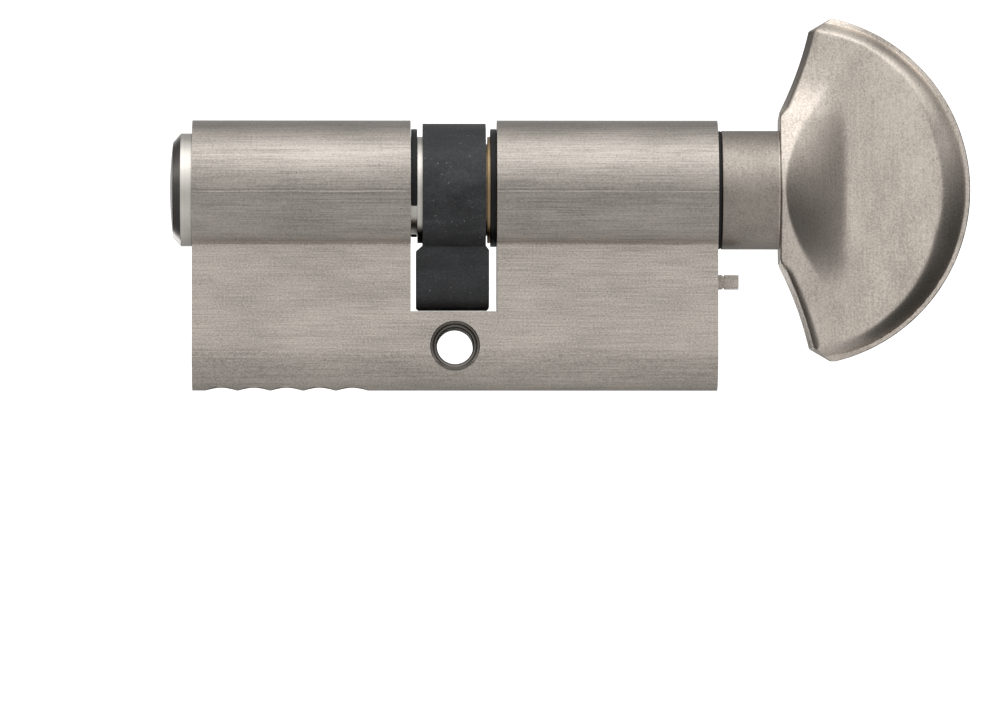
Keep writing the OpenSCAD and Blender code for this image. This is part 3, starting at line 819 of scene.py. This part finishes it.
def studio_world(strength):
    """Soft studio round the object: bright overhead, dimmer level with the camera and below, a dark
    room at both sides and behind, and one lit sweep far behind, low and to the left. The camera
    itself sees plain white."""
    world = bpy.data.worlds.new("Studio")
    world.use_nodes = True
    tree = world.node_tree
    background = tree.nodes["Background"]
    way = add(tree, "ShaderNodeTexCoord", out="Generated")
    x, y, z = (add(tree, "ShaderNodeSeparateXYZ", {"Vector": way}, out=axis) for axis in "XYZ")
    toward = add(tree, "ShaderNodeMath", {0: y, 1: -1.0}, operation="MULTIPLY")
    turn = add(tree, "ShaderNodeMath", {0: z, 1: toward}, operation="ARCTAN2")
    turn_share = add(tree, "ShaderNodeMapRange", {"Value": turn, "From Min": -math.pi, "From Max": math.pi})
    band = add(tree, "ShaderNodeValToRGB", {"Fac": turn_share},
               stops=[((angle + 180) / 360, grey(light)) for angle, light in STUDIO_BAND])
    aside = add(tree, "ShaderNodeMath", {0: x}, operation="ABSOLUTE")
    wings = add(tree, "ShaderNodeMapRange", {"Value": aside, "From Min": 0.22, "From Max": 0.5})
    low_down = add(tree, "ShaderNodeMapRange",
                   {"Value": z, "From Min": 0.14, "From Max": 0.62, "To Min": 1.0, "To Max": 0.0})
    behind = add(tree, "ShaderNodeMapRange", {"Value": y, "From Min": -0.1, "From Max": 0.4})
    dark = add(tree, "ShaderNodeMath", {0: low_down, 1: behind}, operation="MAXIMUM")
    left = add(tree, "ShaderNodeMapRange",
               {"Value": x, "From Min": -0.6, "From Max": 0.0, "To Min": STUDIO_LEFT})
    side = add(tree, "ShaderNodeMath", {0: wings, 1: dark}, operation="MULTIPLY")
    side = add(tree, "ShaderNodeMath", {0: side, 1: left}, operation="MULTIPLY")
    shade = add(tree, "ShaderNodeMath", {0: side, 1: STUDIO_SIDE}, operation="MULTIPLY")
    keep = add(tree, "ShaderNodeMath", {0: 1.0, 1: shade}, operation="SUBTRACT")
    lit = add(tree, "ShaderNodeMix", {"Factor": 1.0, "A": band, "B": keep}, out="Result",
              data_type="RGBA", blend_type="MULTIPLY")
    reach = add(tree, "ShaderNodeMapRange", {"Value": y, "From Min": 0.8, "From Max": 0.88})
    under = add(tree, "ShaderNodeMapRange", {"Value": z, "From Min": 0.02, "From Max": -0.1})
    sweep = add(tree, "ShaderNodeMath", {0: reach, 1: under}, operation="MULTIPLY")
    over_left = add(tree, "ShaderNodeMapRange", {"Value": x, "From Min": -0.2, "From Max": -0.4})
    sweep = add(tree, "ShaderNodeMath", {0: sweep, 1: over_left}, operation="MULTIPLY")
    lit = add(tree, "ShaderNodeMix", {"Factor": sweep, "A": lit, "B": grey(SWEEP_LIGHT)}, out="Result",
              data_type="RGBA")
    seen = add(tree, "ShaderNodeLightPath", out="Is Camera Ray")
    final = add(tree, "ShaderNodeMix", {"Factor": seen, "A": lit, "B": grey(1.0)}, out="Result",
                data_type="RGBA")
    tree.links.new(final, background.inputs["Color"])
    background.inputs["Strength"].default_value = strength
    bpy.context.scene.world = world


SENSOR = 36.0                             # the camera's own millimetres
NEAR, FAR = 0.01, 20.0                    # what the camera can see, from and to
FLOOR_RADIUS = 3.0
FLOOR_GLOW = 0.3                          # light the paper gives by itself, so it stays pale
SOFTBOX_SIZE = (0.9, 0.6)
SOFTBOX_PLACE = (-0.15, -0.35, 0.75)


class CYL_OT_stage(Operator):
    """Pale floor, soft light and the camera."""
    bl_idname = "euro_cylinder.stage"
    bl_label = "Stage"

    def execute(self, context):
        stage = settings().stage
        scene = context.scene
        scene.view_settings.view_transform = "Standard"

        lens = bpy.data.cameras.new("Camera")
        lens.sensor_width = SENSOR
        lens.lens = lens.sensor_width * stage.distance / stage.view_width
        lens.clip_start, lens.clip_end = NEAR, FAR
        camera = bpy.data.objects.new("Camera", lens)
        target = Vector((stage.aim_x, 0.0, AXIS_Z - stage.aim_down))
        turned = Euler((math.pi / 2 + stage.camera_up, 0.0, stage.camera_round))
        camera.location = target + turned.to_matrix() @ Vector((0.0, 0.0, stage.distance))
        camera.rotation_euler = turned
        scene.collection.objects.link(camera)
        scene.camera = camera

        bm = bmesh.new()
        bmesh.ops.create_circle(bm, cap_ends=True, radius=FLOOR_RADIUS, segments=64)
        bmesh.ops.translate(bm, verts=bm.verts, vec=(0, 0, FLOOR_Z - stage.floor_drop))
        mesh = bpy.data.meshes.new("studio_floor")
        bm.to_mesh(mesh)
        bm.free()
        floor = bpy.data.objects.new("studio_floor", mesh)
        scene.collection.objects.link(floor)
        floor.visible_glossy = False
        paper, tree, shader = new_material("Pale paper", Roughness=0.9, Specular_IOR_Level=0.0)
        fibre = add(tree, "ShaderNodeTexNoise",
                    {"Vector": features(tree, 700, 700, 700), "Scale": 1.0, "Detail": 3.0})
        shade = add(tree, "ShaderNodeValToRGB", {"Fac": fibre},
                    stops=((0.3, colour(stage.floor, 0.98)), (0.7, colour(stage.floor))))
        tree.links.new(shade, shader.inputs["Base Color"])
        shader.inputs["Emission Color"].default_value = grey(1.0)
        shader.inputs["Emission Strength"].default_value = FLOOR_GLOW
        mesh.materials.append(paper)

        studio_world(stage.sky)
        light = bpy.data.lights.new("Softbox", "AREA")
        light.shape = "RECTANGLE"
        light.size, light.size_y = SOFTBOX_SIZE
        light.energy = stage.softbox
        softbox = bpy.data.objects.new("Softbox", light)
        softbox.location = SOFTBOX_PLACE
        aim = Vector((0, 0, AXIS_Z)) - Vector(softbox.location)
        softbox.rotation_euler = aim.to_track_quat("-Z", "Y").to_euler()
        scene.collection.objects.link(softbox)
        return {"FINISHED"}


STEPS = (CYL_OT_stage, CYL_OT_housing, CYL_OT_key_plug, CYL_OT_cam, CYL_OT_spindle, CYL_OT_neck,
         CYL_OT_knob, CYL_OT_pins, CYL_OT_springs)


class CYL_PT_panel(Panel):
    """Lists the settings and the steps that build the cylinder."""
    bl_label = "Euro profile cylinder"
    bl_idname = "CYL_PT_panel"
    bl_space_type = "VIEW_3D"
    bl_region_type = "UI"
    bl_category = "Cylinder"

    def draw(self, context):
        chosen = settings()
        for group in (chosen.edges, chosen.knob, chosen.springs, chosen.finish, chosen.stage):
            box = self.layout.box()
            for name in group.__annotations__:
                box.prop(group, name)
        for step in STEPS:
            self.layout.operator(step.bl_idname)


GROUPS = (CYL_PG_edges, CYL_PG_knob, CYL_PG_springs, CYL_PG_finish, CYL_PG_stage, CYL_PG_settings)


def register():
    for cls in GROUPS + STEPS + (CYL_PT_panel,):
        bpy.utils.register_class(cls)
    bpy.types.Scene.euro_cylinder = PointerProperty(type=CYL_PG_settings)


def unregister():
    del bpy.types.Scene.euro_cylinder
    for cls in reversed(GROUPS + STEPS + (CYL_PT_panel,)):
        bpy.utils.unregister_class(cls)


def main():
    register()
    for step in STEPS:
        group, name = step.bl_idname.split(".")
        getattr(getattr(bpy.ops, group), name)()


if __name__ == "__main__":
    main()
